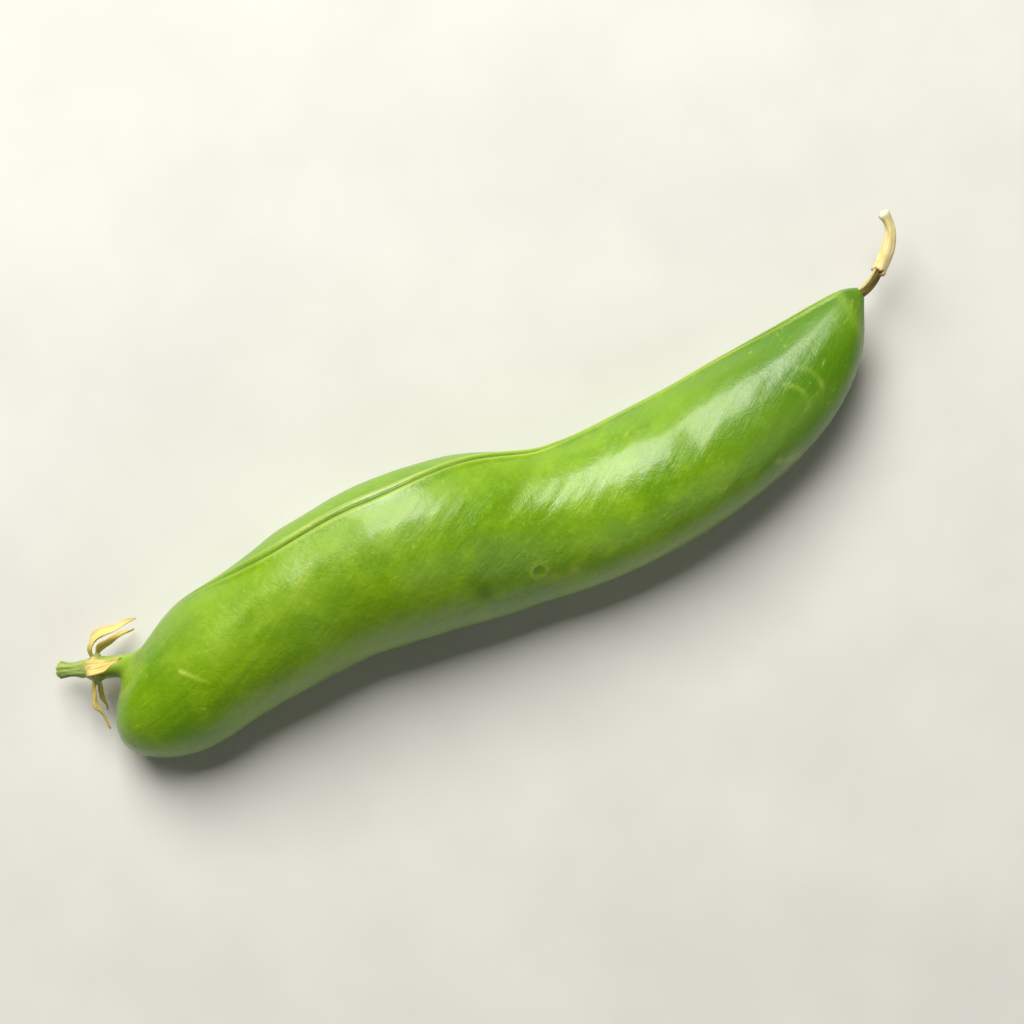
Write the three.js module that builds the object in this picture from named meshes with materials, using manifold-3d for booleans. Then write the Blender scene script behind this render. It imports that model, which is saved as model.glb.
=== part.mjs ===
// A sugar snap pea pod as picked, lying on its side: one plump green pod with a short neck, the dried
// style at its tip, and at its stem end the calyx cup, five withered sepals and a stub of the stalk.
// Units are millimetres, +Z is up. The pod's length runs along X, with the stem end at -X and the
// seam, where the peas are attached, on the +Y side.
import * as THREE from "three";
import { mergeVertices } from "three/addons/utils/BufferGeometryUtils.js";
import Module from "manifold-3d";

const wasm = await Module();
wasm.setup();

// ---- Driving dimensions -------------------------------------------------------------------------
// The pod seen from above, in sections from the neck to the tip. Each row joins a point on the seam
// edge to one on the back edge, and gives half of the pod's thickness there:
// [seam x, seam y, back x, back y, half thickness].
const SECTIONS = [
  [1.92, 9.07, 0.88, 7.13, 1.1],
  [3.46, 8.36, 2.34, 6.24, 1.25],
  [5.0, 7.75, 1.1, 4.6, 2.2],
  [6.6, 8.1, -0.35, 2.6, 3.5],
  [8.3, 8.8, -0.6, 0.3, 4.5],
  [10.3, 9.4, 1.2, -2.1, 5.2],
  [13.0, 9.65, 5.2, -4.0, 5.6],
  [17.0, 9.75, 11.0, -4.25, 5.8],
  [23.0, 10.25, 19.0, -4.35, 6.1],
  [30.0, 10.25, 27.0, -5.4, 6.3],
  [37.0, 9.05, 34.0, -7.3, 6.4],
  [43.5, 6.9, 40.5, -9.05, 6.3],
  [49.0, 3.9, 47.5, -10.8, 6.1],
  [56.0, 2.55, 55.5, -11.75, 5.9],
  [63.0, 2.0, 64.0, -11.6, 5.6],
  [70.0, 1.75, 70.5, -10.6, 5.0],
  [75.5, 1.5, 75.5, -9.0, 4.1],
  [79.5, 1.35, 79.5, -6.6, 3.0],
  [82.2, 1.25, 82.3, -3.8, 1.9],
  [83.7, 1.1, 83.7, -1.6, 1.0],
  [84.4, 0.7, 84.35, -0.55, 0.6],
];
const SPLIT = 2; // steps between two rows of SECTIONS
const RING = 28; // points round a section

const SEAM_TURN = THREE.MathUtils.degToRad(38); // how far the stem half turns its seam up
const TIP_TURN = THREE.MathUtils.degToRad(-7); // and the tip half turns it down
const SINK = 0.45; // how much of the underside is flattened where the pod lies
const NECK_HEIGHT = 4.6; // centre of the neck above the surface
const TIP_HEIGHT = 5.6; // centre of the tip above the surface

const PEA_FIRST = 11; // x of the first pea, the gap between peas and their number
const PEA_GAP = 9.6;
const PEAS = 7;
const PEA_SWELL = 0.32; // how far a pea swells the wall
const PEA_REACH = 3.4;
const SEAM_RIDGE = 0.32; // height of the seam's ridge and of the back's
const BACK_RIDGE = 0.16;
const RIDGE_REACH = 1.0;

const STYLE_PATH = [
  [84.7, 0.12, 5.65],
  [85.8, 0.4, 5.85],
  [87.2, 1.25, 6.15],
  [88.6, 2.3, 6.5],
  [89.6, 3.35, 6.9],
  [90.05, 4.5, 7.3],
  [89.95, 5.9, 7.7],
];
const STYLE_CORE = 0.42; // radius of the thin foot of the style
const STYLE_SHEATH = 0.62; // and of its dry sheath
const STYLE_COLLAR = 0.24; // where the sheath begins, as a share of the length

const NECK_END = new THREE.Vector3(1.4, 8.1, NECK_HEIGHT);
const STALK_WAY = new THREE.Vector3(-0.87, 0.46, -0.17).normalize();
const GAP = 0.35; // clearance between neighbouring pieces
const CUP_LENGTH = 1.5;
const CUP_RIM = 1.45; // radius at the sepals
const CUP_WAIST = 1.0; // radius at the stalk
const STALK_LENGTH = 2.4;
const STALK_RADIUS = 0.75;
const SEPAL_THICK = 0.5;
const SEPAL_INSIDE = new THREE.Vector3(4, 7, 3.5); // the point that the sepals' inner faces turn to
// Each sepal's root direction round the cup in degrees, its middle point, its tip and its width.
const SEPALS = [
  { turn: 176, middle: [-0.95, 4.9, 4.3], tip: [-1.15, 2.6, 3.8], width: 1.5 },
  { turn: 22, middle: [3.9, 10.8, 5.5], tip: [6.9, 10.5, 5.3], width: 1.9 },
  { turn: 88, middle: [1.9, 8.2, 7.2], tip: [4.0, 7.9, 8.4], width: 1.8 },
  { turn: -50, middle: [3.4, 10.0, 2.2], tip: [5.6, 9.9, 1.0], width: 1.7 },
  { turn: -125, middle: [-0.3, 5.9, 2.0], tip: [-0.9, 4.4, 0.9], width: 1.6 },
];

// ---- Small helpers ------------------------------------------------------------------------------
const { smoothstep, lerp } = THREE.MathUtils;
const bell = (distance, reach) => Math.exp(-((distance / reach) ** 2));
const vector = (p) => new THREE.Vector3(...p);

// A closed body through rings of equal size, capped at both ends by a fan round the ring's centre.
function loft(rings) {
  const count = rings[0].length;
  const centre = (ring) => ring.reduce((sum, p) => sum.add(p), new THREE.Vector3()).divideScalar(count);
  const points = [...rings.flat(), centre(rings[0]), centre(rings.at(-1))];
  const first = rings.length * count;
  const faces = [];
  for (let i = 0; i < rings.length - 1; i++) {
    for (let j = 0; j < count; j++) {
      const [a, b] = [i * count + j, i * count + ((j + 1) % count)];
      faces.push(a, b, b + count, a, b + count, a + count);
    }
  }
  const last = (rings.length - 1) * count;
  for (let j = 0; j < count; j++) {
    const next = (j + 1) % count;
    faces.push(first, next, j);
    faces.push(first + 1, last + j, last + next);
  }
  const geometry = new THREE.BufferGeometry().setFromPoints(points);
  geometry.setIndex(faces);
  return geometry;
}

// Rings round a path, each an ellipse whose half axes sizeAt gives for a share of the length. The
// second half axis points away from inside.
function tubeRings(path, steps, sides, sizeAt, inside) {
  return Array.from({ length: steps + 1 }, (_, i) => {
    const share = i / steps;
    const centre = path.getPointAt(share);
    const along = path.getTangentAt(share);
    const away = centre.clone().sub(inside);
    const second = away.addScaledVector(along, -away.dot(along)).normalize();
    const wide = new THREE.Vector3().crossVectors(second, along);
    const [a, b] = sizeAt(share);
    return Array.from({ length: sides }, (_, j) => {
      const angle = (2 * Math.PI * j) / sides;
      const [c, s] = [Math.cos(angle), Math.sin(angle)];
      return centre.clone().addScaledVector(wide, a * c).addScaledVector(second, b * s);
    });
  });
}

function toSolid(geometry) {
  const bare = new THREE.BufferGeometry().setAttribute("position", geometry.getAttribute("position"));
  bare.setIndex(geometry.index);
  const merged = mergeVertices(bare, 1e-4);
  return new wasm.Manifold(
    new wasm.Mesh({
      numProp: 3,
      vertProperties: merged.attributes.position.array,
      triVerts: new Uint32Array(merged.index.array),
    }),
  );
}

function toGeometry(solid) {
  const mesh = solid.getMesh();
  const positions = new THREE.BufferAttribute(new Float32Array(mesh.vertProperties), mesh.numProp);
  const geometry = new THREE.BufferGeometry().setAttribute("position", positions);
  return geometry.setIndex(new THREE.BufferAttribute(new Uint32Array(mesh.triVerts), 1));
}

// ---- The pod ------------------------------------------------------------------------------------
const seamEdge = new THREE.CatmullRomCurve3(SECTIONS.map(([x, y]) => vector([x, y, 0])));
const backEdge = new THREE.CatmullRomCurve3(SECTIONS.map(([, , x, y, half]) => vector([x, y, half])));

// How far the seam is turned up out of the flat at this x.
function turnAt(x) {
  const stemHalf = smoothstep(x, -2, 22) * (1 - smoothstep(x, 31, 57));
  const tipHalf = smoothstep(x, 46, 60) * (1 - smoothstep(x, 70, 84));
  return SEAM_TURN * stemHalf + TIP_TURN * tipHalf;
}

// The height of a section's centre: it rests on the surface, or bends up to the neck or the tip.
function heightAt(x, support) {
  const resting = support - SINK;
  const ends = lerp(NECK_HEIGHT, TIP_HEIGHT, smoothstep(x, 60, 84));
  const softness = 0.6;
  const gap = resting - ends;
  return ends + 0.5 * (gap + Math.sqrt(gap * gap + softness * softness));
}

function podRing(t) {
  const seam = seamEdge.getPoint(t);
  const edge = backEdge.getPoint(t);
  const half = edge.z;
  const back = new THREE.Vector3(edge.x, edge.y, 0);
  const across = seam.clone().sub(back);
  const reach = across.length() / 2;
  across.normalize();
  const centre = seam.clone().add(back).divideScalar(2);
  const turn = turnAt(centre.x);
  const flatness = half / reach;
  // The turned ellipse is as wide from above as the outline says.
  const wide = reach / Math.hypot(Math.cos(turn), flatness * Math.sin(turn));
  const thick = wide * flatness;
  centre.z = heightAt(centre.x, Math.hypot(wide * Math.sin(turn), thick * Math.cos(turn)));
  const up = new THREE.Vector3(0, 0, 1);
  const toSeam = across.clone().multiplyScalar(Math.cos(turn)).addScaledVector(up, Math.sin(turn));
  const toSide = up.clone().multiplyScalar(Math.cos(turn)).addScaledVector(across, -Math.sin(turn));
  let swell = 0;
  for (let pea = 0; pea < PEAS; pea++) swell += bell(centre.x - PEA_FIRST - pea * PEA_GAP, PEA_REACH);
  const full = smoothstep(reach, 2, 5); // ridges and swellings fade out at the thin ends
  return Array.from({ length: RING }, (_, j) => {
    const angle = (2 * Math.PI * j) / RING;
    const [c, s] = [Math.cos(angle), Math.sin(angle)];
    const ridge = c > 0 ? SEAM_RIDGE : BACK_RIDGE;
    const grown = full * (ridge * bell(thick * s, RIDGE_REACH) + PEA_SWELL * swell * Math.abs(s) ** 1.5);
    return centre
      .clone()
      .addScaledVector(toSeam, (wide + grown) * c)
      .addScaledVector(toSide, (thick + grown) * s);
  });
}

function podGeometry() {
  const steps = (SECTIONS.length - 1) * SPLIT;
  const rings = Array.from({ length: steps + 1 }, (_, i) => podRing(i / steps));
  const body = toSolid(loft(rings));
  const depth = 5;
  const below = new THREE.BoxGeometry(200, 100, depth).translate(0, 0, -depth / 2);
  return toGeometry(body.subtract(toSolid(below)));
}

// ---- The dried style at the tip -----------------------------------------------------------------
function styleGeometry() {
  const path = new THREE.CatmullRomCurve3(STYLE_PATH.map(vector));
  const size = (share) => {
    const sheath = smoothstep(share, STYLE_COLLAR, STYLE_COLLAR + 0.06);
    const roundEnd = Math.sqrt(Math.max(0.12, 1 - smoothstep(share, 0.88, 1) ** 2));
    const radius = lerp(STYLE_CORE, STYLE_SHEATH, sheath) * roundEnd;
    return [radius, radius * 0.85];
  };
  return loft(tubeRings(path, 22, 10, size, vector([84, 10, 0])));
}

// ---- The stem end -------------------------------------------------------------------------------
const stalkTurn = new THREE.Quaternion().setFromUnitVectors(new THREE.Vector3(0, 1, 0), STALK_WAY);
const alongStalk = (distance) => NECK_END.clone().addScaledVector(STALK_WAY, distance);

function cupGeometry() {
  const [low, high] = [GAP, GAP + CUP_LENGTH];
  const profile = [
    [0, low],
    [CUP_RIM * 0.85, low],
    [CUP_RIM, low + CUP_LENGTH * 0.25],
    [CUP_RIM * 0.93, low + CUP_LENGTH * 0.6],
    [CUP_WAIST, high],
    [0, high],
  ].map(([r, y]) => new THREE.Vector2(r, y));
  return new THREE.LatheGeometry(profile, 16);
}

function stalkGeometry() {
  const start = alongStalk(2 * GAP + CUP_LENGTH);
  const end = start.clone().addScaledVector(STALK_WAY, STALK_LENGTH).add(vector([0.25, -0.1, -0.3]));
  const middle = start.clone().lerp(end, 0.5).add(vector([-0.12, 0.05, 0.15]));
  const path = new THREE.CatmullRomCurve3([start, middle, end]);
  const size = (share) => {
    const radius = STALK_RADIUS * (1 + 0.12 * Math.cos(2 * Math.PI * share));
    return [radius, radius];
  };
  return loft(tubeRings(path, 8, 12, size, SEPAL_INSIDE.clone().setZ(0)));
}

function sepalGeometry({ turn, middle, tip, width }) {
  const angle = THREE.MathUtils.degToRad(turn);
  // Directions round the cup count from level, towards +X, up.
  const level = new THREE.Vector3().crossVectors(STALK_WAY, new THREE.Vector3(0, 0, 1)).normalize();
  const upward = new THREE.Vector3().crossVectors(level, STALK_WAY);
  const outward = level.multiplyScalar(Math.cos(angle)).addScaledVector(upward, Math.sin(angle));
  const root = alongStalk(GAP + CUP_LENGTH * 0.35);
  root.addScaledVector(outward, CUP_RIM + GAP + SEPAL_THICK / 2);
  const path = new THREE.CatmullRomCurve3([root, vector(middle), vector(tip)]);
  const size = (share) => [
    (width / 2) * (0.62 + 0.38 * Math.sin(Math.PI * Math.min(1, share * 1.4))) * (1 - 0.8 * share ** 2.2),
    (SEPAL_THICK / 2) * (1 - 0.4 * share),
  ];
  return loft(tubeRings(path, 10, 8, size, SEPAL_INSIDE));
}

// ---- The assembly -------------------------------------------------------------------------------
const skin = new THREE.MeshStandardMaterial({ color: 0x6fa31e, roughness: 0.42, metalness: 0 });
const drySheath = new THREE.MeshStandardMaterial({ color: 0xf3e7b0, roughness: 0.7, metalness: 0 });
const calyxGreen = new THREE.MeshStandardMaterial({ color: 0xa9b35a, roughness: 0.7, metalness: 0 });
const sepalStraw = new THREE.MeshStandardMaterial({ color: 0xdcd68c, roughness: 0.8, metalness: 0 });
const stalkGreen = new THREE.MeshStandardMaterial({ color: 0xa2b060, roughness: 0.7, metalness: 0 });

function named(name, geometry, material) {
  const mesh = new THREE.Mesh(geometry, material);
  mesh.name = name;
  return mesh;
}

const cup = named("calyx_cup", cupGeometry(), calyxGreen);
cup.quaternion.copy(stalkTurn);
cup.position.copy(NECK_END);

const pieces = new THREE.Group();
pieces.add(named("pod", podGeometry(), skin));
pieces.add(named("dried_style", styleGeometry(), drySheath));
pieces.add(cup);
pieces.add(named("stalk_stub", stalkGeometry(), stalkGreen));
SEPALS.forEach((sepal, i) => pieces.add(named(`sepal_${i + 1}`, sepalGeometry(sepal), sepalStraw)));

// The origin is under the middle of the whole, on the surface that it lies on.
const box = new THREE.Box3().setFromObject(pieces);
const middle = box.getCenter(new THREE.Vector3());
pieces.position.set(-middle.x, -middle.y, 0);

const group = new THREE.Group();
group.add(pieces);
export default group;
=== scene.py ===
"""A sugar snap pea pod as picked, lying on its side on a pale surface and seen from above.

Places below are in millimetres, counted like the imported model's but from the pod's blunt stem end, and
in_frame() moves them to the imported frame, in metres.
"""

import math
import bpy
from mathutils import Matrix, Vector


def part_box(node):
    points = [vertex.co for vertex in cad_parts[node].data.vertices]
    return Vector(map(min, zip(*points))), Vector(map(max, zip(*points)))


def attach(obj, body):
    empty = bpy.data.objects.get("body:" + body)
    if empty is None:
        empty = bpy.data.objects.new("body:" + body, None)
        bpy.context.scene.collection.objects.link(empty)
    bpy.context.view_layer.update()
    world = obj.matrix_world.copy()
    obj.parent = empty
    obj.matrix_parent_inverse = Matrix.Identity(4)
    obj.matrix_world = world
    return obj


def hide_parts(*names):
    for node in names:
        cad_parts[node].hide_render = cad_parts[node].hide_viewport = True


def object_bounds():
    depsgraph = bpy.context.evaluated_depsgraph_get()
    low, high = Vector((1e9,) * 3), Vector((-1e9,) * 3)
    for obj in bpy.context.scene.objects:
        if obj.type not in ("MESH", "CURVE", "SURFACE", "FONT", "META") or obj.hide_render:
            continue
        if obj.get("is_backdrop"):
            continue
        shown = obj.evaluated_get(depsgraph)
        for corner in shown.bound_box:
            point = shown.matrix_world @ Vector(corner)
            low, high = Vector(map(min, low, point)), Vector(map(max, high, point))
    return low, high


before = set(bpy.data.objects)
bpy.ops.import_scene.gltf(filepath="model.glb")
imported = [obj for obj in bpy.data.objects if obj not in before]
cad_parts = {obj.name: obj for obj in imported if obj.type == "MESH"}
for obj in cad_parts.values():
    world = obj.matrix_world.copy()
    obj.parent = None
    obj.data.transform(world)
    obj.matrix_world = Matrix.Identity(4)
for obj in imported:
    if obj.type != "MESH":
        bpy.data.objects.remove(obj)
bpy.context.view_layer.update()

from types import SimpleNamespace

import bpy
import numpy as np
from mathutils import Vector

MM = 0.001

# ---- The pod's outline ----------------------------------------------------------------------------
# Sections from the neck to the tip: [seam x, seam y, back x, back y, half thickness].
SECTIONS = np.array([
    [1.92, 9.07, 0.88, 7.13, 1.1],
    [3.46, 8.36, 2.34, 6.24, 1.25],
    [5.0, 7.75, 1.1, 4.6, 2.2],
    [6.6, 8.1, -0.35, 2.6, 3.5],
    [8.3, 8.8, -0.6, 0.3, 4.5],
    [10.3, 9.4, 1.2, -2.1, 5.2],
    [13.0, 9.65, 5.2, -4.0, 5.6],
    [17.0, 9.75, 11.0, -4.25, 5.8],
    [23.0, 10.25, 19.0, -4.35, 6.1],
    [30.0, 10.25, 27.0, -5.4, 6.3],
    [37.0, 9.05, 34.0, -7.3, 6.4],
    [43.5, 6.9, 40.5, -9.05, 6.3],
    [49.0, 3.9, 47.5, -10.8, 6.1],
    [56.0, 2.55, 55.5, -11.75, 5.9],
    [63.0, 2.0, 64.0, -11.6, 5.6],
    [70.0, 1.75, 70.5, -10.6, 5.0],
    [75.5, 1.5, 75.5, -9.0, 4.1],
    [79.5, 1.35, 79.5, -6.6, 3.0],
    [82.2, 1.25, 82.3, -3.8, 1.9],
    [83.7, 1.1, 83.7, -1.6, 1.0],
    [84.4, 0.7, 84.35, -0.55, 0.6],
])
RINGS = 460
RING = 208  # points round a ring
SEAM_TURN = math.radians(38)  # how far the stem half turns its seam up
SEAM_LEAD = math.radians(8)  # how far the seam's line stands up the wall from the section's own end
TIP_TURN = math.radians(-7)  # how far the tip half turns its seam down
SINK = 0.45  # how much of the underside is flattened where the pod lies
NECK_HEIGHT = 4.6  # centre of the neck above the surface
TIP_HEIGHT = 5.6  # centre of the tip above the surface
SOFTNESS = 0.6  # how softly the pod bends up from the surface to its ends
PEAS = 11 + 9.6 * np.arange(7)  # where the peas swell the pod, along x
PEA_SWELL = 0.32
PEA_REACH = 3.4
SEAM_RIDGE = 0.2  # height of the two ridges beside the seam's groove, and the groove's depth
VEIN_SLANT = math.radians(32)  # how far the veins lean from the pod's length

# ---- Marks on the upper wall, in plan -------------------------------------------------------------
CREASE = (49.3, 3.4), (41.3, -0.2)
RING_SCUFF = 43.0, -6.4
RING_SCUFF_RADIUS = 0.82
SMEARS = [((44.2, -7.6), (46.2, -8.0)), ((68.6, -9.7), (70.6, -10.2))]
DASH = (8.6, 3.7), (10.4, 1.5)
ARCS = [(73.6, -4.9, 2.4, 74.6), (71.8, -5.6, 2.2, 72.6)]  # centre x, y, radius, and x where it starts
# Painted highlight with waxy bloom: a pale band along the upper wall of the stem half
PAINTED_HIGHLIGHT_BAND = (9, 5.6), (36, 4.0)
DENT = 20.5, 1.2
DARK_SPOT = 37.6, -5.2
NECK_FOOT = 2.2, 7.6

# ---- The ends -------------------------------------------------------------------------------------
STYLE_PATH = [
    (83.9, 0.1, 5.6),
    (84.7, 0.12, 5.65),
    (85.8, 0.4, 5.85),
    (87.2, 1.25, 6.15),
    (88.6, 2.3, 6.5),
    (89.6, 3.35, 6.9),
    (90.05, 4.5, 7.3),
    (89.95, 5.9, 7.7),
]
STYLE_INSIDE = np.array([84, 10, 0])  # the point that the style curls round
NECK_END = np.array([1.4, 8.1, NECK_HEIGHT])
STALK_WAY = np.array([-0.87, 0.46, -0.17]) / np.linalg.norm([-0.87, 0.46, -0.17])
CUP_LENGTH = 1.5
CUP_RIM = 1.45  # radius at the sepals
STALK_RADIUS = 0.75
SEPAL_INSIDE = np.array([4, 7, 3.5])  # the point that the sepals' inner faces turn to
# Each sepal's root direction round the cup in degrees, its middle point, its tip, its width, and how
# much it curls and twists.
SEPALS = [
    dict(turn=176, middle=(-0.95, 4.9, 4.3), tip=(-1.15, 2.6, 3.8), width=1.5, curl=0.55, twist=25),
    dict(turn=22, middle=(3.9, 10.8, 5.5), tip=(6.9, 10.5, 5.3), width=1.9, curl=0.5, twist=-30),
    dict(turn=88, middle=(1.9, 8.2, 7.2), tip=(4.0, 7.9, 8.4), width=1.8, curl=0.35, twist=10),
    dict(turn=-50, middle=(3.4, 10.0, 2.2), tip=(5.6, 9.9, 1.0), width=1.7, curl=0.4, twist=15),
    dict(turn=-125, middle=(-0.3, 5.9, 2.0), tip=(-0.9, 4.4, 0.9), width=1.6, curl=0.45, twist=-15),
]


# ---- Curves and fields ----------------------------------------------------------------------------
def smoothstep(value, low, high):
    t = np.clip((value - low) / (high - low), 0, 1)
    return t * t * (3 - 2 * t)


def bell(distance, reach):
    return np.exp(-((distance / reach) ** 2))


def unit(vectors):
    return vectors / np.linalg.norm(vectors, axis=-1, keepdims=True)


def spline(points, count):
    """count points, evenly spaced in the parameter, on a curve of continuous curvature through points."""
    points = np.asarray(points, float)
    knots = np.concatenate([[0], np.cumsum(np.linalg.norm(np.diff(points, axis=0), axis=1))])
    gaps = np.diff(knots)
    size = len(points)
    matrix = np.eye(size)
    right = np.zeros_like(points)
    for i in range(1, size - 1):
        matrix[i, i - 1:i + 2] = gaps[i - 1], 2 * (gaps[i - 1] + gaps[i]), gaps[i]
        slopes = (points[i + 1] - points[i]) / gaps[i] - (points[i] - points[i - 1]) / gaps[i - 1]
        right[i] = 6 * slopes
    bends = np.linalg.solve(matrix, right)
    at = np.linspace(0, knots[-1], count)
    i = np.clip(np.searchsorted(knots, at) - 1, 0, size - 2)
    gap = gaps[i][:, None]
    a = (knots[i + 1] - at)[:, None] / gap
    b = 1 - a
    bend = ((a**3 - a) * bends[i] + (b**3 - b) * bends[i + 1]) * gap**2 / 6
    return a * points[i] + b * points[i + 1] + bend


def ripple(points, wavelength, seed, waves=28):
    """A smooth random field, about -1 to 1, at points, whose last axis holds their coordinates."""
    random = np.random.default_rng(seed)
    directions = unit(random.normal(size=(waves, points.shape[-1])))
    lengths = wavelength * random.uniform(0.7, 1.5, waves)
    phases = random.uniform(0, 2 * math.pi, waves)
    total = np.zeros(points.shape[:-1])
    for direction, length, phase in zip(directions, lengths, phases):
        total += np.cos(points @ direction * (2 * math.pi / length) + phase)
    return total / math.sqrt(2 * waves)


def to_segment(x, y, start, end):
    """Distance in plan from the points (x, y) to the line from start to end, and the share along it."""
    (x0, y0), (x1, y1) = start, end
    dx, dy = x1 - x0, y1 - y0
    share = np.clip(((x - x0) * dx + (y - y0) * dy) / (dx * dx + dy * dy), 0, 1)
    return np.hypot(x - x0 - share * dx, y - y0 - share * dy), share


# ---- Meshes ---------------------------------------------------------------------------------------
SHIFT = np.zeros(3)  # set once the pod's own box is known


def in_frame(points):
    return (np.asarray(points) + SHIFT) * MM


def ring_faces(rows, columns):
    i, j = np.meshgrid(np.arange(rows - 1), np.arange(columns), indexing="ij")
    a = i * columns + j
    b = i * columns + (j + 1) % columns
    quads = np.stack([a, b, b + columns, a + columns], axis=-1).reshape(-1, 4)
    return quads.tolist()


def closed_piece(name, rings, material, nodes, fields):
    """A closed mesh through rings (rows x columns x 3, local mm), capped by a fan at each end."""
    rows, columns = rings.shape[:2]
    ends = np.stack([rings[0].mean(0), rings[-1].mean(0)])
    points = in_frame(np.concatenate([rings.reshape(-1, 3), ends]))
    faces = ring_faces(rows, columns)
    first, last = rows * columns, (rows - 1) * columns
    for j in range(columns):
        after = (j + 1) % columns
        faces.append((first, after, j))
        faces.append((first + 1, last + j, last + after))
    mesh = bpy.data.meshes.new(name)
    mesh.from_pydata(points.tolist(), [], faces)
    mesh.polygons.foreach_set("use_smooth", [True] * len(mesh.polygons))
    for field, values in fields.items():
        flat = values.reshape(rows * columns, -1)
        flat = np.concatenate([flat, flat[:columns].mean(0)[None], flat[-columns:].mean(0)[None]])
        kind, key = ("FLOAT", "value") if flat.shape[1] == 1 else ("FLOAT_VECTOR", "vector")
        layer = mesh.attributes.new(field, kind, "POINT")
        layer.data.foreach_set(key, flat.astype(np.float32).ravel())
    mesh.materials.append(material)
    mesh.update()
    piece = bpy.data.objects.new(name, mesh)
    bpy.context.scene.collection.objects.link(piece)
    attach(piece, "root")
    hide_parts(*nodes)
    return piece


def frames_along(path, inside):
    """Unit directions along the path, away from inside and across, for each point of the path."""
    along = unit(np.gradient(path, axis=0))
    away = path - inside
    away = unit(away - along * np.sum(away * along, axis=1, keepdims=True))
    return along, away, np.cross(away, along)


def tube(path, inside, radius, angles):
    """Rings round path; radius holds a value for each point of the path and each angle."""
    _, away, across = frames_along(path, inside)
    c, s = np.cos(angles)[None, :, None], np.sin(angles)[None, :, None]
    return path[:, None] + radius[..., None] * (across[:, None] * c + away[:, None] * s)


# ---- Materials ------------------------------------------------------------------------------------
def srgb(r, g, b):
    """A colour given as on a screen, 0 to 255, as linear light."""
    shares = [channel / 255 for channel in (r, g, b)]
    linear = [c / 12.92 if c <= 0.0405 else ((c + 0.055) / 1.055) ** 2.4 for c in shares]
    return (*linear, 1)


class Looks:
    """One material with a Principled shader, and short ways to add nodes in front of it."""

    def __init__(self, name):
        self.material = bpy.data.materials.new(name)
        self.material.use_nodes = True
        self.tree = self.material.node_tree
        self.shader = self.tree.nodes["Principled BSDF"]

    def node(self, kind, sockets=None, **settings):
        made = self.tree.nodes.new(kind)
        for key, value in settings.items():
            setattr(made, key, value)
        for key, value in (sockets or {}).items():
            self.put(made.inputs[key], value)
        return made

    def put(self, socket, value):
        if isinstance(value, bpy.types.NodeSocket):
            self.tree.links.new(value, socket)
        else:
            socket.default_value = value

    def field(self, name, vector=False):
        return self.node("ShaderNodeAttribute", attribute_name=name).outputs["Vector" if vector else "Fac"]

    def place(self):
        """Object coordinates in millimetres."""
        coordinates = self.node("ShaderNodeTexCoord").outputs["Object"]
        return self.scaled(coordinates, 1 / MM)

    def scaled(self, vector, by):
        factors = (by,) * 3 if np.isscalar(by) else by
        return self.node("ShaderNodeVectorMath", {0: vector, 1: factors}, operation="MULTIPLY").outputs[0]

    def noise(self, vector, scale, detail=3.0, rough=0.55, warp=0.0):
        sockets = {"Vector": vector, "Scale": scale, "Detail": detail, "Roughness": rough, "Distortion": warp}
        return self.node("ShaderNodeTexNoise", sockets).outputs["Fac"]

    def math(self, operation, a, b=0.0, clamp=False):
        return self.node("ShaderNodeMath", {0: a, 1: b}, operation=operation, use_clamp=clamp).outputs[0]

    def spread(self, value, low, high, to_low=0.0, to_high=1.0):
        """value from low to high turned smoothly into to_low to to_high."""
        sockets = {"Value": value, "From Min": low, "From Max": high, "To Min": to_low, "To Max": to_high}
        return self.node("ShaderNodeMapRange", sockets, interpolation_type="SMOOTHSTEP").outputs["Result"]

    def mix(self, share, a, b):
        made = self.node("ShaderNodeMix", data_type="RGBA")
        for socket, value in zip((made.inputs[0], made.inputs[6], made.inputs[7]), (share, a, b)):
            self.put(socket, value)
        return made.outputs[2]

    def bump(self, height, depth_mm, normal=None):
        sockets = {"Height": height, "Distance": depth_mm * MM, "Strength": 1.0}
        if normal is not None:
            sockets["Normal"] = normal
        return self.node("ShaderNodeBump", sockets).outputs["Normal"]

    def finish(self, colour, roughness, normal, **constants):
        self.put(self.shader.inputs["Base Color"], colour)
        self.put(self.shader.inputs["Roughness"], roughness)
        self.put(self.shader.inputs["Normal"], normal)
        for key, value in constants.items():
            self.shader.inputs[key.replace("_", " ")].default_value = value
        return self.material


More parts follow.
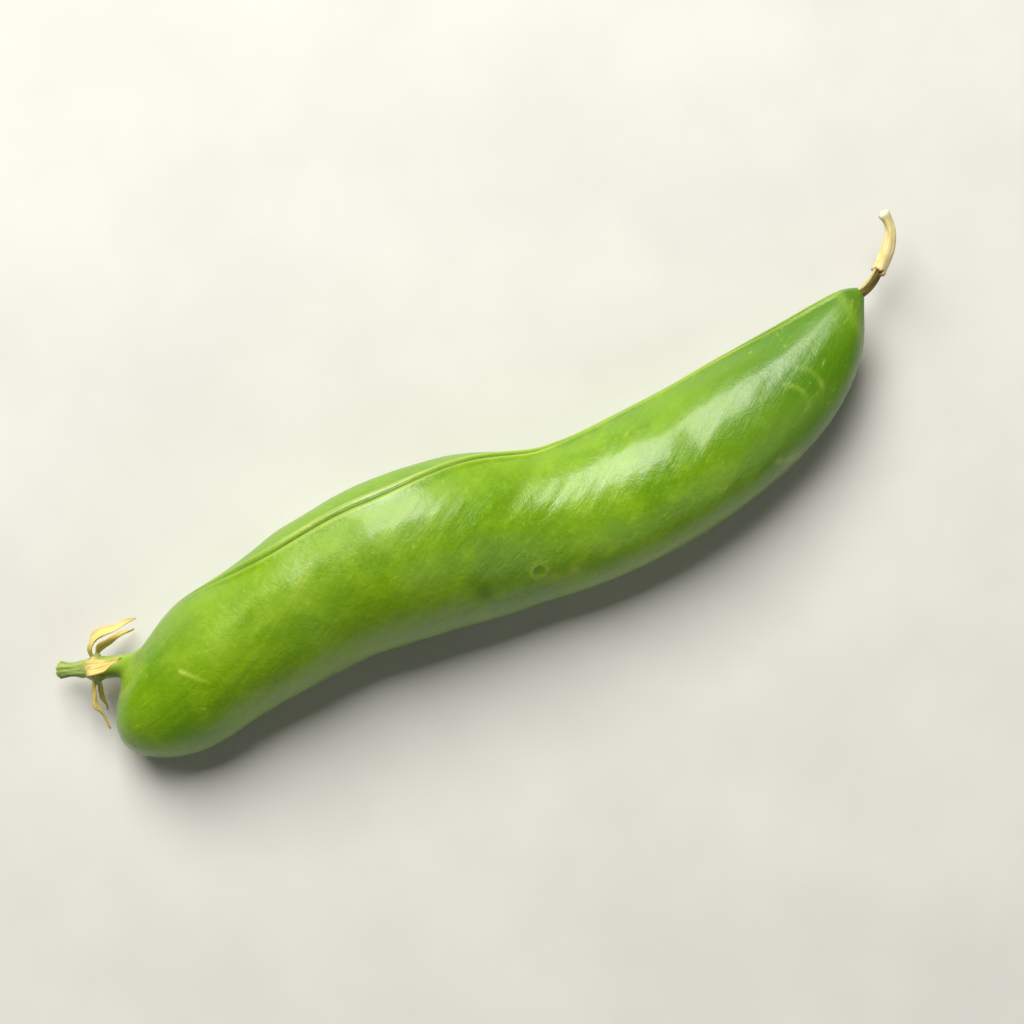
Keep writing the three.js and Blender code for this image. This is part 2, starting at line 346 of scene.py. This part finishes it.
def pod_skin():
    """Waxy green skin: deeper and lighter green patches, fine slanting veins, pale seam and scars, and the
    painted highlights and painted shade that the pale and deep fields carry.
    """
    k = Looks("pod_skin")
    place = k.place()
    vein = k.field("vein", vector=True)
    broad = k.noise(place, 0.09, 2.0, 0.5)
    patches = k.noise(place, 0.35, 3.0, 0.6)
    streaks = k.noise(k.scaled(vein, (0.16, 1.0, 1.0)), 0.9, 4.0, 0.6, 0.4)
    threads = k.noise(k.scaled(vein, (0.1, 1.0, 1.0)), 2.6, 3.0, 0.6, 0.6)
    grain = k.noise(place, 3.2, 3.0, 0.6)
    colour = k.mix(k.spread(broad, 0.35, 0.65), srgb(98, 144, 0), srgb(122, 164, 0))
    colour = k.mix(k.math("MULTIPLY", k.spread(patches, 0.45, 0.7), 0.45), colour, srgb(140, 182, 2))
    colour = k.mix(k.math("MULTIPLY", k.spread(streaks, 0.5, 0.8), 0.3), colour, srgb(136, 178, 12))
    colour = k.mix(k.math("MULTIPLY", k.spread(threads, 0.56, 0.78), 0.22), colour, srgb(78, 122, 0))
    colour = k.mix(k.spread(grain, 0.5, 0.72, 0.0, 0.24), colour, srgb(150, 190, 30))
    colour = k.mix(k.spread(grain, 0.46, 0.3, 0.0, 0.12), colour, srgb(70, 112, 0))
    flecks = k.noise(place, 1.3, 3.0, 0.65)
    colour = k.mix(k.math("MULTIPLY", k.spread(flecks, 0.52, 0.7), 0.2), colour, srgb(148, 188, 24))
    colour = k.mix(k.math("MULTIPLY", k.spread(flecks, 0.48, 0.32), 0.14), colour, srgb(74, 118, 0))
    colour = k.mix(k.field("yellow"), colour, srgb(124, 166, 0))
    colour = k.mix(k.field("cool"), colour, srgb(68, 118, 12))
    colour = k.mix(k.field("deep"), colour, srgb(62, 98, 0))
    colour = k.mix(k.field("pale"), colour, srgb(190, 212, 84))
    colour = k.mix(k.math("MULTIPLY", k.field("bloom"), 0.22), colour, srgb(132, 172, 24))
    scuffs = k.noise(k.scaled(vein, (0.3, 1.0, 1.0)), 1.7, 5.0, 0.75, 1.2)
    scuffs = k.math("MULTIPLY", k.spread(scuffs, 0.57, 0.7), k.spread(patches, 0.4, 0.56))
    colour = k.mix(k.math("MULTIPLY", scuffs, 0.6), colour, srgb(162, 196, 62))
    cells = k.node("ShaderNodeTexVoronoi", {"Vector": place, "Scale": 0.85, "Randomness": 1.0})
    speck = cells.outputs["Distance"]
    specks = k.math("MULTIPLY", k.spread(speck, 0.05, 0.12, 1.0, 0.0), k.spread(grain, 0.45, 0.6))
    colour = k.mix(k.math("MULTIPLY", specks, 0.4), colour, srgb(176, 204, 90))
    roughness = k.spread(k.math("ADD", patches, k.math("MULTIPLY", grain, 0.5)), 0.45, 1.1, 0.27, 0.42)
    roughness = k.math("ADD", roughness, k.math("MULTIPLY", k.field("bloom"), 0.1))
    roughness = k.math("ADD", roughness, k.math("MULTIPLY", scuffs, 0.15))
    roughness = k.math("ADD", roughness, k.math("MULTIPLY", k.field("yellow"), 0.3))
    dimples = k.noise(place, 0.8, 4.0, 0.7, 0.5)
    normal = k.bump(dimples, 0.09)
    normal = k.bump(streaks, 0.06, normal)
    normal = k.bump(threads, 0.022, normal)
    normal = k.bump(grain, 0.02, normal)
    return k.finish(
        colour, roughness, normal,
        Subsurface_Weight=0.08, Subsurface_Radius=(0.6, 1.0, 0.1), Subsurface_Scale=0.0012,
        Specular_IOR_Level=0.45, Coat_Weight=0.34, Coat_Roughness=0.16, Coat_IOR=1.5,
    )


def dry_sheath():
    """Cream, finely lined dry tissue, with a brown foot."""
    k = Looks("dry_sheath")
    place = k.place()
    lines = k.noise(k.scaled(k.field("lines", vector=True), (0.5, 3.0, 3.0)), 1.0, 4.0, 0.65, 0.3)
    mottle = k.noise(place, 1.4, 3.0, 0.6)
    colour = k.mix(k.spread(lines, 0.35, 0.65), srgb(224, 202, 130), srgb(246, 233, 176))
    colour = k.mix(k.math("MULTIPLY", k.spread(mottle, 0.5, 0.75), 0.4), colour, srgb(218, 190, 118))
    colour = k.mix(k.field("tip"), colour, srgb(236, 228, 198))
    brown = k.mix(k.spread(lines, 0.4, 0.6), srgb(74, 62, 14), srgb(132, 118, 40))
    colour = k.mix(k.field("foot"), colour, brown)
    colour = k.mix(k.field("edge"), colour, srgb(168, 116, 40))
    normal = k.bump(lines, 0.05, k.bump(mottle, 0.03))
    roughness = k.spread(mottle, 0.3, 0.7, 0.45, 0.65)
    return k.finish(colour, roughness, normal, Subsurface_Weight=0.1, Subsurface_Scale=0.0006)


def withered_sepal():
    """Straw-coloured thin tissue: greener at its root, browned at its tip and along its edges."""
    k = Looks("withered_sepal")
    place = k.place()
    lines = k.noise(k.scaled(k.field("lines", vector=True), (0.6, 3.5, 3.5)), 1.0, 4.0, 0.6, 0.3)
    mottle = k.noise(place, 1.1, 3.0, 0.6)
    colour = k.mix(k.spread(lines, 0.35, 0.68), srgb(216, 190, 96), srgb(247, 230, 152))
    colour = k.mix(k.math("MULTIPLY", k.spread(mottle, 0.48, 0.7), 0.5), colour, srgb(230, 208, 122))
    colour = k.mix(k.field("root"), colour, srgb(184, 180, 84))
    colour = k.mix(k.field("edge"), colour, srgb(200, 142, 48))
    normal = k.bump(lines, 0.05, k.bump(mottle, 0.03))
    roughness = k.spread(mottle, 0.3, 0.7, 0.55, 0.75)
    return k.finish(colour, roughness, normal, Subsurface_Weight=0.1, Subsurface_Scale=0.0005)


def stem_skin(name, low, high, end):
    """Matt, finely ribbed green of the calyx cup or the stalk, with its own colours."""
    k = Looks(name)
    place = k.place()
    lines = k.noise(k.scaled(k.field("lines", vector=True), (0.5, 3.0, 3.0)), 1.0, 4.0, 0.6, 0.3)
    mottle = k.noise(place, 1.2, 3.0, 0.6)
    colour = k.mix(k.spread(lines, 0.35, 0.65), low, high)
    colour = k.mix(k.math("MULTIPLY", k.spread(mottle, 0.5, 0.72), 0.45), colour, srgb(196, 190, 110))
    colour = k.mix(k.field("end"), colour, end)
    normal = k.bump(lines, 0.06, k.bump(mottle, 0.03))
    roughness = k.spread(mottle, 0.3, 0.7, 0.45, 0.65)
    return k.finish(colour, roughness, normal, Subsurface_Weight=0.1, Subsurface_Scale=0.0006)


# ---- The pod --------------------------------------------------------------------------------------
def turn_at(x):
    stem_half = smoothstep(x, -2, 22) * (1 - smoothstep(x, 31, 57))
    tip_half = smoothstep(x, 46, 60) * (1 - smoothstep(x, 70, 84))
    return SEAM_TURN * stem_half + TIP_TURN * tip_half


def height_at(x, support):
    """The height of a section's centre: it rests on the surface, or bends up to the neck or the tip."""
    ends = NECK_HEIGHT + (TIP_HEIGHT - NECK_HEIGHT) * smoothstep(x, 60, 84)
    gap = support - SINK - ends
    return ends + 0.5 * (gap + np.sqrt(gap**2 + SOFTNESS**2))


def pod_wall():
    """The plain wall: its sections' centres and axes, and where each of its points lies on the skin."""
    rows = spline(SECTIONS, RINGS)
    seam, back, half = rows[:, :2], rows[:, 2:4], rows[:, 4]
    reach = np.linalg.norm(seam - back, axis=1) / 2
    across = unit(seam - back)
    middle = (seam + back) / 2
    x = middle[:, 0]
    turn = turn_at(x)
    flatness = half / reach
    # The turned ellipse is as wide from above as the outline says.
    wide = reach / np.hypot(np.cos(turn), flatness * np.sin(turn))
    thick = wide * flatness
    z = height_at(x, np.hypot(wide * np.sin(turn), thick * np.cos(turn)))
    flat_across = np.column_stack([across, np.zeros(RINGS)])
    up = np.array([0, 0, 1.0])
    c_turn, s_turn = np.cos(turn)[:, None], np.sin(turn)[:, None]
    wall = SimpleNamespace(x=x[:, None], reach=reach[:, None], centre=np.column_stack([middle, z])[:, None])
    wall.to_seam = (flat_across * c_turn + up * s_turn)[:, None]
    wall.to_side = (up * c_turn - flat_across * s_turn)[:, None]

    lead = SEAM_LEAD * (smoothstep(x, 8, 26) + 0.9 * smoothstep(x, 44, 58) * (1 - smoothstep(x, 76, 84)))
    angle = 2 * math.pi * np.arange(RING)[None] / RING + lead[:, None]
    c, s = np.cos(angle), np.sin(angle)
    wall.upward = s
    wall.across_mm, wall.side_mm = wide[:, None] * c, thick[:, None] * s
    wall.normal = unit(np.stack([c / wide[:, None], s / thick[:, None]], axis=-1))
    wall.plain = wall.across_mm[..., None] * wall.to_seam + wall.side_mm[..., None] * wall.to_side
    wall.plain = wall.plain + wall.centre

    # Distances round the section, in millimetres; from_seam is positive on the upper wall.
    steps = (np.diff(mm, axis=1, append=mm[:, :1]) for mm in (wall.across_mm, wall.side_mm))
    step = np.hypot(*steps)
    round_mm = np.cumsum(step, axis=1) - step
    whole = step.sum(axis=1, keepdims=True)
    wall.from_seam = np.where(np.arange(RING) < RING / 2, round_mm, round_mm - whole)
    wall.from_back = whole / 2 - np.abs(wall.from_seam)
    wall.clear = smoothstep(np.abs(wall.from_seam), 1.0, 2.6) * smoothstep(wall.from_back, 0.6, 2)

    x_here = np.broadcast_to(wall.x, wall.from_seam.shape)
    wall.skin = np.stack([x_here, np.abs(wall.from_seam), 9.0 * (wall.from_seam >= 0)], axis=-1)
    length, side = wall.skin[..., 0], wall.skin[..., 1]
    wall.vein = np.stack([
        length * math.cos(VEIN_SLANT) - side * math.sin(VEIN_SLANT),
        length * math.sin(VEIN_SLANT) + side * math.cos(VEIN_SLANT),
        wall.skin[..., 2],
    ], axis=-1)
    wall.lip = 0.48 + 0.08 * ripple(wall.x[..., None], 18, 3)  # from the groove to each ridge
    wall.thin = smoothstep(wall.reach, 1.2, 3)
    return wall


def wall_relief(wall):
    """How far the seam, the back, the peas and the skin's unevenness stand out of the plain wall."""
    from_seam, from_back, skin, vein = wall.from_seam, wall.from_back, wall.skin, wall.vein
    full = smoothstep(wall.reach, 2, 5)
    ridges = bell(from_seam - wall.lip, 0.26) + bell(from_seam + wall.lip, 0.26)
    seam_form = SEAM_RIDGE * ridges - SEAM_RIDGE * bell(from_seam, 0.17)
    seam_form += 0.18 * bell(from_seam, 1.7)
    seam_form *= 0.45 + 0.55 * smoothstep(wall.x, 6, 20)
    back_form = 0.17 * bell(from_back, 0.42) - 0.05 * bell(from_back - 1.3, 0.6)
    swell = np.sum([bell(wall.x - pea, PEA_REACH) for pea in PEAS], axis=0)
    pea_form = PEA_SWELL * swell * np.abs(wall.upward) ** 1.5
    uneven = 0.07 * ripple(skin * [1, 1, 3], 15, 11) + 0.025 * ripple(skin * [1, 1, 3], 5.5, 12)
    wrinkle = 0.022 * ripple(vein * [0.16, 1, 1], 2.2, 21) + 0.012 * ripple(vein * [0.12, 1, 1], 1.1, 22)
    grown = wall.thin * seam_form + wall.thin * back_form + full * (pea_form + uneven * wall.clear)
    return grown + full * wrinkle * wall.clear


def wall_marks(wall):
    """Where the marks on the upper wall are."""
    px, py = wall.plain[..., 0], wall.plain[..., 1]
    marks = SimpleNamespace(px=px, py=py, above=(wall.upward > -0.2) & (wall.plain[..., 2] > 5))
    marks.crease, share = to_segment(px, py, *CREASE)
    (x0, y0), (x1, y1) = CREASE
    marks.below_crease = (py - y0) * (x1 - x0) - (px - x0) * (y1 - y0) > 0
    marks.crease_fade = marks.above * np.sin(np.pi * np.clip(share * 0.9 + 0.1, 0, 1))
    marks.from_ring = np.hypot(px - RING_SCUFF[0], (py - RING_SCUFF[1]) * 1.25)
    edge = marks.from_ring - RING_SCUFF_RADIUS - 0.14 * ripple(wall.plain, 1.8, 43)
    marks.ring = marks.above * bell(edge, 0.2)
    marks.dent = marks.above * bell(np.hypot((px - DENT[0]) * 0.35, py - DENT[1]), 1.6)
    return marks


def mark_relief(marks):
    """How far the marks stand out of the wall."""
    grown = 0.05 * marks.ring - 0.07 * marks.above * bell(marks.from_ring, 0.45)
    return grown - 0.13 * marks.crease_fade * bell(marks.crease, 1.2) - 0.12 * marks.dent


def pale_field(wall, marks):
    px, py, above = marks.px, marks.py, marks.above
    broken = 0.5 + 0.5 * ripple(wall.plain, 1.6, 41)
    shown = (0.2 + 0.8 * smoothstep(wall.x, 12, 26)) * wall.thin
    lines = 0.85 * bell(wall.from_seam + wall.lip, 0.2) + 0.6 * bell(wall.from_seam - wall.lip, 0.2)
    pale = shown * lines * (0.75 + 0.25 * ripple(wall.skin, 6, 31))
    pale += 0.4 * bell(wall.from_back, 0.4)
    pale += 0.5 * marks.ring * np.clip(1.4 * broken, 0, 1)
    for smear in SMEARS:
        pale += above * 0.6 * np.clip(broken, 0, 1) * bell(to_segment(px, py, *smear)[0], 0.4)
    dash, share = to_segment(px, py, *DASH)
    pale += above * bell(dash, 0.2) * (0.85 - 0.6 * share)
    for x, y, radius, starts in ARCS:
        arc = bell(np.abs(np.hypot(px - x, py - y) - radius), 0.26) * bell(py + 4.6, 2)
        pale += above * 0.4 * np.clip(broken, 0, 1) * arc * (px > starts)
    # Painted highlight along the crease's lit edge, on the side below it.
    pale += 0.1 * marks.crease_fade * bell(marks.crease - 0.9, 0.5) * marks.below_crease
    # Painted highlight with waxy bloom: a pale mottled band along the upper wall of the stem half.
    painted_highlight_band, _ = to_segment(px, py, *PAINTED_HIGHLIGHT_BAND)
    mottle = np.clip(0.7 + 0.6 * ripple(wall.vein * [0.4, 1, 1], 1.8, 44), 0, 1)
    pale += 0.2 * above * bell(painted_highlight_band, 2.3) * mottle
    # Painted highlight: a pale line across the pod near its tip, standing for a lit fold.
    pale += 0.15 * bell(px - 82.2 - 0.06 * (py + 1), 0.45)
    neck = 1 - smoothstep(np.hypot(px - NECK_FOOT[0], py - NECK_FOOT[1]), 1.5, 4.2)
    return pale + 0.4 * neck * np.clip(0.8 + 0.5 * ripple(wall.vein * [0.25, 1, 1], 1.4, 42), 0, 1)


def deep_field(wall, marks):
    shown = (0.2 + 0.8 * smoothstep(wall.x, 12, 26)) * wall.thin
    # Painted shade down the seam's groove.
    deep = bell(wall.from_seam, 0.19) * shown * (1 - 0.45 * smoothstep(wall.x, 22, 32))
    deep += 0.15 * marks.above * bell(marks.from_ring, 0.5)
    deep += 0.45 * marks.above * bell(np.hypot(marks.px - DARK_SPOT[0], marks.py - DARK_SPOT[1]), 0.8)
    # Painted shade along the crease.
    deep += 0.15 * marks.crease_fade * bell(marks.crease, 0.7)
    return deep + 0.3 * bell(marks.px - 83.3, 0.5)


def yellow_field(wall):
    """The lighter, yellower green beside the seam and along the back."""
    upper, lower = wall.from_seam, -wall.from_seam
    yellow = 0.5 * smoothstep(lower, 0.7, 1.6) * (1 - smoothstep(lower, 4, 9)) * wall.thin
    yellow += 0.45 * smoothstep(upper, 0.8, 1.5) * (1 - smoothstep(upper, 1.8, 4.2))
    return yellow + 0.35 * (1 - smoothstep(wall.from_back, 0.5, 2.5))


def fit_to_frame(rings):
    """Lays the pod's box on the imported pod's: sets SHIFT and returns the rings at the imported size."""
    global SHIFT
    low, high = rings.reshape(-1, 3).min(0), rings.reshape(-1, 3).max(0)
    cad_low, cad_high = (np.array(corner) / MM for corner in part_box("pod"))
    SHIFT = (cad_low + cad_high - low - high) / 2 * [1, 1, 0]
    middle = (low + high) / 2
    growth = (cad_high - cad_low) / (high - low)
    return middle + (rings - middle) * [growth[0], growth[1], 1]


def make_pod():
    wall = pod_wall()
    marks = wall_marks(wall)
    grown = wall_relief(wall) + mark_relief(marks)
    rings = wall.centre + (wall.across_mm + wall.normal[..., 0] * grown)[..., None] * wall.to_seam
    rings = rings + (wall.side_mm + wall.normal[..., 1] * grown)[..., None] * wall.to_side
    rings[..., 2] = np.maximum(rings[..., 2], 0)
    shades = dict(
        pale=pale_field(wall, marks),
        deep=deep_field(wall, marks),
        yellow=yellow_field(wall),
        cool=0.75 * smoothstep(marks.px, 54, 76) + 0.25 * (1 - smoothstep(marks.px, 2, 12)),
        bloom=np.clip(0.5 + 0.7 * ripple(wall.skin * [0.6, 1, 1], 9, 51), 0, 1) * wall.clear,
    )
    fields = {name: np.clip(values, 0, 1) for name, values in shades.items()}
    fields["vein"] = wall.vein
    closed_piece("pod_body", fit_to_frame(rings), pod_skin(), ["pod"], fields)


make_pod()


# ---- The dried style ------------------------------------------------------------------------------
def make_style():
    count, columns = 170, 48
    path = spline(STYLE_PATH, count)
    share = np.linspace(0, 1, count)[:, None]
    angle = 2 * math.pi * np.arange(columns) / columns
    jag = 0.016 * np.sign(np.sin(2 * angle + 0.6))
    jag = jag + 0.008 * np.sin(7 * angle) + 0.006 * np.sin(11 * angle + 2)
    collar = 0.33 + jag[None]
    sheath = smoothstep(share, collar - 0.008, collar + 0.008)
    foot = 0.46 - 0.05 * share / 0.3 + 0.05 * np.cos(3 * angle + 0.5)[None]
    tube_radius = 0.72 - 0.24 * smoothstep(share, 0.5, 0.88) + 0.09 * bell(share - 0.95, 0.04)
    tube_radius = tube_radius + 0.05 * bell(share - collar, 0.03)
    points = np.stack(np.broadcast_arrays(share * 12, np.cos(angle)[None], np.sin(angle)[None]), axis=-1)
    ribs = 0.03 * np.cos(5 * angle + 6 * share) + 0.02 * ripple(points, 2.2, 61)
    radius = foot + (tube_radius + ribs - foot) * sheath
    round_end = np.sqrt(np.clip(1 - smoothstep(share, 0.945, 1.0) ** 2, 0.004, 1))
    rings = tube(path, STYLE_INSIDE, radius * round_end, angle)
    fields = dict(
        foot=1 - sheath,
        edge=bell(share - collar - 0.01, 0.016) * 0.7,
        tip=np.broadcast_to(smoothstep(share, 0.9, 0.97), radius.shape),
        lines=points,
    )
    material = dry_sheath()
    closed_piece("style_sheath", rings, material, ["dried_style"], fields)

    # A pale strand stands beside the foot, from the pod's tip to the collar.
    strand = spline([(83.9, 0.5, 5.95), (84.8, 0.52, 6.1), (85.8, 0.85, 6.3), (86.9, 1.5, 6.55)], 40)
    strand_share = np.linspace(0, 1, 40)[:, None]
    angle = 2 * math.pi * np.arange(16) / 16
    strand_radius = 0.17 * np.sqrt(np.clip(4.4 * strand_share * (1.06 - strand_share), 0.05, 1))
    strand_radius = np.broadcast_to(strand_radius, (40, 16))
    c, s = np.cos(angle)[None], np.sin(angle)[None]
    points = np.stack(np.broadcast_arrays(strand_share * 4, c, s), axis=-1)
    none = np.zeros(strand_radius.shape)
    fields = dict(foot=none + 0.08, edge=none + 0.2, tip=none, lines=points)
    rings = tube(strand, STYLE_INSIDE, strand_radius, angle)
    closed_piece("style_strand", rings, material, ["dried_style"], fields)


make_style()


# ---- The calyx and the stalk ----------------------------------------------------------------------
def on_stalk(distance):
    return NECK_END + STALK_WAY * distance


def make_cup():
    count, columns = 60, 80
    share = np.linspace(0, 1, count)
    distance = -0.25 + share * (CUP_LENGTH + 0.75)
    path = on_stalk(distance[:, None])
    angle = 2 * math.pi * np.arange(columns) / columns
    profile = 1.12 + 0.38 * bell(share - 0.36, 0.16) + 0.1 * bell(share - 0.5, 0.2)
    profile = profile - 0.28 * smoothstep(share, 0.55, 0.95)
    profile = profile * np.sqrt(np.clip(1 - smoothstep(share, 0.9, 1.0) ** 2 * 0.35, 0, 1))
    lobes = 0.07 * np.cos(5 * angle + 0.4)[None] * bell(share - 0.4, 0.25)[:, None]
    c, s = np.cos(angle)[None], np.sin(angle)[None]
    points = np.stack(np.broadcast_arrays(share[:, None] * 3, 1.5 * c, 1.5 * s), axis=-1)
    radius = profile[:, None] * (1 + lobes) + 0.03 * ripple(points, 1.0, 71)
    rings = tube(path, SEPAL_INSIDE * [1, 1, 0], radius, angle)
    fields = dict(end=np.broadcast_to(bell(share - 0.3, 0.1)[:, None] * 0.6, radius.shape), lines=points)
    material = stem_skin("calyx_green", srgb(140, 152, 62), srgb(178, 184, 96), srgb(214, 206, 134))
    closed_piece("calyx_cup_detail", rings, material, ["calyx_cup"], fields)


def make_stalk():
    start = on_stalk(CUP_LENGTH + 0.3)
    end = on_stalk(CUP_LENGTH + 0.7 + 2.4) + [0.25, -0.1, -0.3]
    middle = (start + end) / 2 + [-0.12, 0.05, 0.15]
    count, columns = 70, 72
    path = spline([start, middle, end], count)
    share = np.linspace(0, 1, count)[:, None]
    angle = 2 * math.pi * np.arange(columns) / columns
    ribs = 0.035 * np.cos(6 * angle)[None] + 0.03 * np.cos(11 * angle + 4 * share)
    points = np.stack(np.broadcast_arrays(share * 4, np.cos(angle)[None], np.sin(angle)[None]), axis=-1)
    radius = STALK_RADIUS * (1 + 0.12 * np.cos(2 * math.pi * share)) + ribs + 0.03 * ripple(points, 1.2, 81)
    rings = tube(path, SEPAL_INSIDE * [1, 1, 0], radius, angle)
    # The cut end is closed by rings that run in to the middle, slightly sunk.
    along = unit(path[-1] - path[-2])
    inner = [1.0, 0.97, 0.86, 0.7, 0.5, 0.3, 0.12]
    sunk = [0.03, 0.05, 0.02, -0.05, -0.1, -0.12, -0.1]
    face = np.stack([path[-1] + (rings[-1] - path[-1]) * r + along * d for r, d in zip(inner, sunk)])
    rings = np.concatenate([rings, face])
    ends = np.concatenate([smoothstep(share[:, 0], 0.93, 1.0) * 0.6, np.ones(len(inner))])
    lines = np.concatenate([points, np.repeat(points[-1:], len(inner), axis=0)])
    fields = dict(end=np.broadcast_to(ends[:, None], rings.shape[:2]), lines=lines)
    material = stem_skin("stalk_green", srgb(118, 146, 58), srgb(164, 182, 96), srgb(206, 198, 130))
    closed_piece("stalk_stub_detail", rings, material, ["stalk_stub"], fields)


def make_sepal(number, material, turn, middle, tip, width, curl, twist):
    angle = math.radians(turn)
    level = unit(np.cross(STALK_WAY, [0, 0, 1]))
    outward = level * math.cos(angle) + np.cross(level, STALK_WAY) * math.sin(angle)
    root = on_stalk(0.35 + CUP_LENGTH * 0.2) + outward * CUP_RIM * 0.72
    knee = on_stalk(0.35 + CUP_LENGTH * 0.42) + outward * (CUP_RIM + 0.62)
    count, half_columns = 70, 14
    path = spline([root, knee, middle, tip], count)
    _, away, across = frames_along(path, SEPAL_INSIDE)
    share = np.linspace(0, 1, count)
    turned = np.radians(twist) * smoothstep(share, 0.3, 1)
    away, across = (
        away * np.cos(turned)[:, None] + across * np.sin(turned)[:, None],
        across * np.cos(turned)[:, None] - away * np.sin(turned)[:, None],
    )
    j = np.linspace(-1, 1, half_columns)
    spread = np.concatenate([j, j[::-1]])[None]  # out along the outer face and back along the inner
    face = np.concatenate([np.ones(half_columns), -np.ones(half_columns)])[None]
    shape = (0.62 + 0.38 * np.sin(np.pi * np.minimum(1, share * 1.4))) * (1 - 0.93 * share**2.4)
    leaf = np.stack(np.broadcast_arrays(share[:, None] * 9, spread * 0.6), axis=-1)
    half_width = (width / 2 * shape)[:, None] * (1 + 0.1 * ripple(leaf, 2.2, 90 + number))
    thickness = (0.16 * (1 - 0.55 * share))[:, None] * np.sqrt(np.clip(1.05 - spread**2, 0.02, 1))
    midrib = 0.09 * bell(spread, 0.22) * (1 - share[:, None])
    wave = 0.12 * np.sin(share[:, None] * 14 + number) * np.abs(spread)
    bend = curl * half_width * spread**2 * smoothstep(share, 0.15, 0.6)[:, None]
    lift = bend + wave + midrib + thickness * face
    rings = path[:, None] + across[:, None] * (half_width * spread)[..., None]
    rings = rings + away[:, None] * lift[..., None]
    rings[..., 2] = np.maximum(rings[..., 2], 0.02)
    lines = np.stack(np.broadcast_arrays(share[:, None] * 6, spread * 1.2, face * 0.4 + number), axis=-1)
    root_share = 1 - smoothstep(share, 0.12, 0.42)[:, None]
    edge = 0.5 * smoothstep(np.abs(spread), 0.8, 1.0) + 0.6 * smoothstep(share, 0.82, 1)[:, None]
    fields = dict(root=np.broadcast_to(root_share, rings.shape[:2]), edge=np.clip(edge, 0, 1), lines=lines)
    closed_piece(f"sepal_{number}_detail", rings, material, [f"sepal_{number}"], fields)


make_cup()
make_stalk()
sepal_material = withered_sepal()
for number, sepal in enumerate(SEPALS, 1):
    make_sepal(number, sepal_material, **sepal)


# ---- Floor, light and camera ----------------------------------------------------------------------
ROLL = math.radians(31.8)  # how far the pod's length rises to the right in the picture
RIGHT = Vector((math.cos(ROLL), -math.sin(ROLL), 0))
UP = Vector((math.sin(ROLL), math.cos(ROLL), 0))
OUT = Vector((0, 0, 1))


def make_floor():
    k = Looks("pale_floor")
    speckle = k.noise(k.place(), 0.05, 3.0)
    colour = k.mix(k.spread(speckle, 0.3, 0.7), srgb(212, 211, 207), srgb(219, 218, 214))
    mesh = bpy.data.meshes.new("floor")
    reach = 2.0
    corners = [(-reach, -reach, 0), (reach, -reach, 0), (reach, reach, 0), (-reach, reach, 0)]
    mesh.from_pydata(corners, [], [(0, 1, 2, 3)])
    mesh.materials.append(k.finish(colour, 0.6, k.bump(speckle, 0.01)))
    floor = bpy.data.objects.new("floor", mesh)
    bpy.context.scene.collection.objects.link(floor)
    floor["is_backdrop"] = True


def area_light(name, toward, distance, size, power, colour):
    data = bpy.data.lights.new(name, "AREA")
    data.shape = "RECTANGLE"
    data.size, data.size_y = size
    data.energy = power
    data.color = colour
    light = bpy.data.objects.new(name, data)
    light.location = toward.normalized() * distance
    light.rotation_mode = "QUATERNION"
    light.rotation_quaternion = toward.to_track_quat("Z", "Y")
    bpy.context.scene.collection.objects.link(light)
    light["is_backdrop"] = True


def make_lights():
    area_light("key", UP * 0.8 - RIGHT * 0.3 + OUT * 1.05, 0.55, (0.34, 0.4), 4.9, (1, 0.98, 0.92))
    area_light("fill", -UP * 0.7 + RIGHT * 0.8 + OUT * 0.9, 0.8, (0.6, 0.6), 0.7, (1, 0.98, 0.94))
    world = bpy.data.worlds.new("studio")
    world.use_nodes = True
    background = world.node_tree.nodes["Background"]
    background.inputs["Color"].default_value = (1, 0.98, 0.94, 1)
    background.inputs["Strength"].default_value = 0.05
    bpy.context.scene.world = world


def make_camera():
    low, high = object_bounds()
    centre = (low + high) / 2
    data = bpy.data.cameras.new("camera")
    data.lens = 100
    data.sensor_width = 36
    camera = bpy.data.objects.new("camera", data)
    seen = 0.1  # the width that the picture takes in
    distance = seen * data.lens / data.sensor_width
    camera.location = centre + OUT * distance
    camera.rotation_euler = (0, 0, -ROLL)
    data.clip_start, data.clip_end = 0.01, 10
    bpy.context.scene.collection.objects.link(camera)
    bpy.context.scene.camera = camera


make_floor()
make_lights()
make_camera()
bpy.context.scene.view_settings.view_transform = "Standard"
